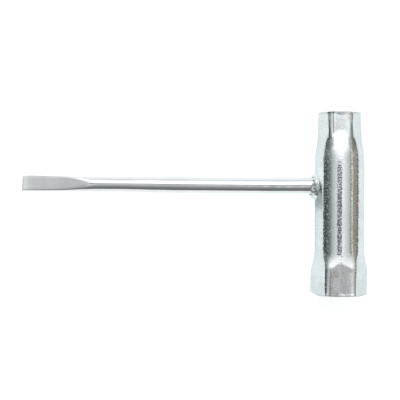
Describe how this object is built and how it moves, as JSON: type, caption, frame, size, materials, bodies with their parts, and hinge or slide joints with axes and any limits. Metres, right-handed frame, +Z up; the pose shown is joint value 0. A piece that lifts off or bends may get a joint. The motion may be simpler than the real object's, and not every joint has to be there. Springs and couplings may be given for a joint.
{
  "type": "spark plug wrench",
  "caption": "Box wrench of plated steel tube with a hexagon socket at each end and a welded side bar that ends in a screwdriver blade.",
  "frame": {"origin": "where the axis of the bar meets the axis of the tube", "axes": "the wrench lies flat: the bar points to -X, the tube runs along Y with its large socket at -Y and its small socket at +Y, and +Z is up"},
  "size_m": [0.1548, 0.082, 0.023],
  "materials": {
    "tube_plating": "bright zinc plate on drawn steel tube",
    "bar_plating": "bright zinc plate on drawn steel bar",
    "weld_plating": "zinc plate over a rippled weld"
  },
  "bodies": {
    "root": {"socket_tube": "tube_plating", "driver_bar": "bar_plating", "weld_bead": "weld_plating"}
  },
  "joints": []
}
